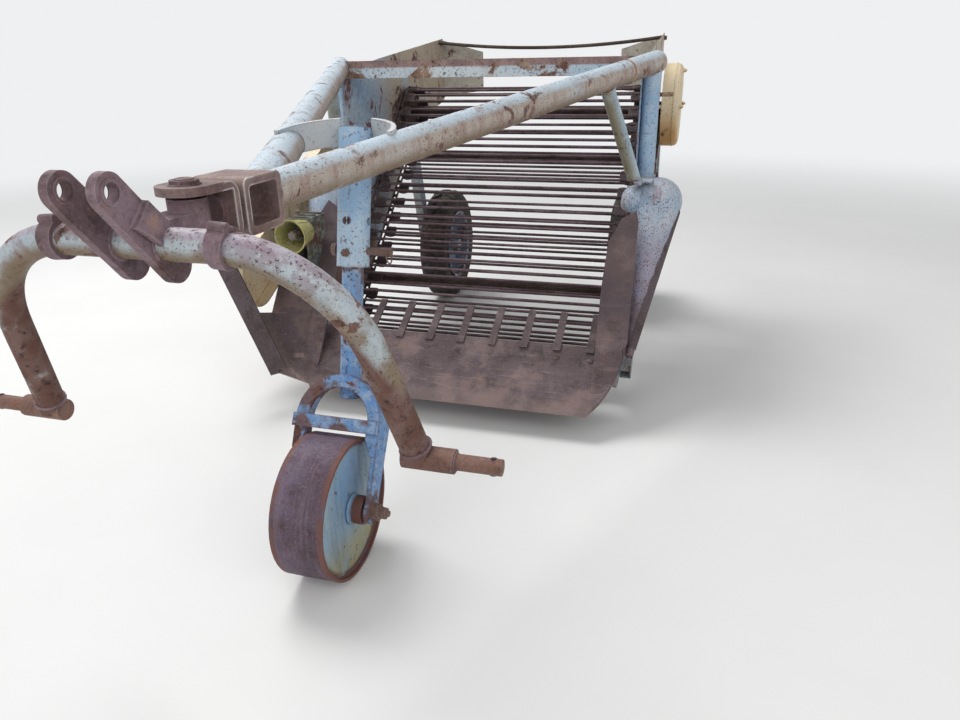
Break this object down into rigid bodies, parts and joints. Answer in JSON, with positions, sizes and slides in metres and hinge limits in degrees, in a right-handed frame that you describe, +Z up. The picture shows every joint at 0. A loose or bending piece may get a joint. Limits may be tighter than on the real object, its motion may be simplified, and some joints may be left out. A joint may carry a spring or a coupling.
{
  "type": "potato digger",
  "caption": "Trailed potato digger: bow hitch on an A-frame, depth wheel, share, sloping rod web between side walls, and rear wheels.",
  "frame": {"origin": "on the ground, under the middle of the machine's box", "axes": "+Z up; the hitch is at the front, towards -Y, and the web delivers at the rear, towards +Y; +X is the right of someone who stands in front and looks at the machine"},
  "size_m": [1.5341, 3.2254, 1.288],
  "materials": {
    "pale_blue_paint": "chalky, chipped to rust",
    "blue_paint": "faded, chipped to rust",
    "cream_paint": "faded, rust patches",
    "grey_paint": "faded",
    "rusty_steel": "even brown-purple rust",
    "worn_steel": "worn",
    "guard_plastic": "faded",
    "tyre": "dusty"
  },
  "bodies": {
    "root": {"head_block": "rusty_steel", "main_tube_left": "cream_paint", "main_tube_right": "cream_paint", "post_left": "pale_blue_paint", "post_right": "pale_blue_paint", "brace_left": "pale_blue_paint", "brace_right": "pale_blue_paint", "top_beam": "pale_blue_paint", "arch_bracket": "pale_blue_paint", "wheel_sleeve": "pale_blue_paint", "wheel_fork": "blue_paint", "leg_pin": "rusty_steel", "depth_axle": "rusty_steel", "side_wall_left": "pale_blue_paint", "side_wall_right": "pale_blue_paint", "deflector_left": "grey_paint", "deflector_right": "grey_paint", "rear_tie_rod": "rusty_steel", "nose_left": "pale_blue_paint", "nose_right": "pale_blue_paint", "wing_left": "rusty_steel", "wing_right": "rusty_steel", "share": "rusty_steel", "share_fingers": "rusty_steel", "share_beam": "rusty_steel", "web": "rusty_steel", "head_shaft": "rusty_steel", "tail_roller": "rusty_steel", "web_rollers": "rusty_steel", "shaft_bearings": "rusty_steel", "chain_guard_left": "cream_paint", "drive_guard_right": "cream_paint", "side_coulter_left": "rusty_steel", "gearbox": "blue_paint", "pto_shaft": "worn_steel", "pto_guard": "guard_plastic", "rail_left": "pale_blue_paint", "rail_right": "pale_blue_paint", "cross_tubes": "pale_blue_paint", "wheel_leg_left": "pale_blue_paint", "wheel_leg_right": "pale_blue_paint"},
    "depth_wheel": {"depth_wheel": "rusty_steel"},
    "wheel_left": {"tyre_left": "tyre", "rim_left": "blue_paint"},
    "wheel_right": {"tyre_right": "tyre", "rim_right": "blue_paint"},
    "yoke": {"yoke": "rusty_steel", "roll_pin": "rusty_steel", "swivel_pin": "rusty_steel"},
    "bow": {"bow_tube": "pale_blue_paint", "hitch_pins": "rusty_steel", "top_link_clevis": "rusty_steel", "bow_bands": "rusty_steel", "bow_tongue": "rusty_steel"}
  },
  "joints": [
    {"name": "depth_wheel_spin", "type": "hinge", "parent": "root", "child": "depth_wheel", "pos_m": [0.0321, -1.03571, 0.172], "axis": [1, 0, 0], "continuous": true},
    {"name": "wheel_left_spin", "type": "hinge", "parent": "root", "child": "wheel_left", "pos_m": [-0.4339, 1.25429, 0.28], "axis": [1, 0, 0], "continuous": true},
    {"name": "wheel_right_spin", "type": "hinge", "parent": "root", "child": "wheel_right", "pos_m": [0.4981, 1.25429, 0.28], "axis": [1, 0, 0], "continuous": true},
    {"name": "hitch_roll", "type": "hinge", "parent": "root", "child": "yoke", "pos_m": [0.0321, -1.23871, 0.934], "axis": [0, 1, 0], "range_deg": [-12, 12]},
    {"name": "hitch_yaw", "type": "hinge", "parent": "yoke", "child": "bow", "pos_m": [0.0321, -1.37971, 0.934], "axis": [0, 0, 1], "range_deg": [-25, 25]}
  ]
}
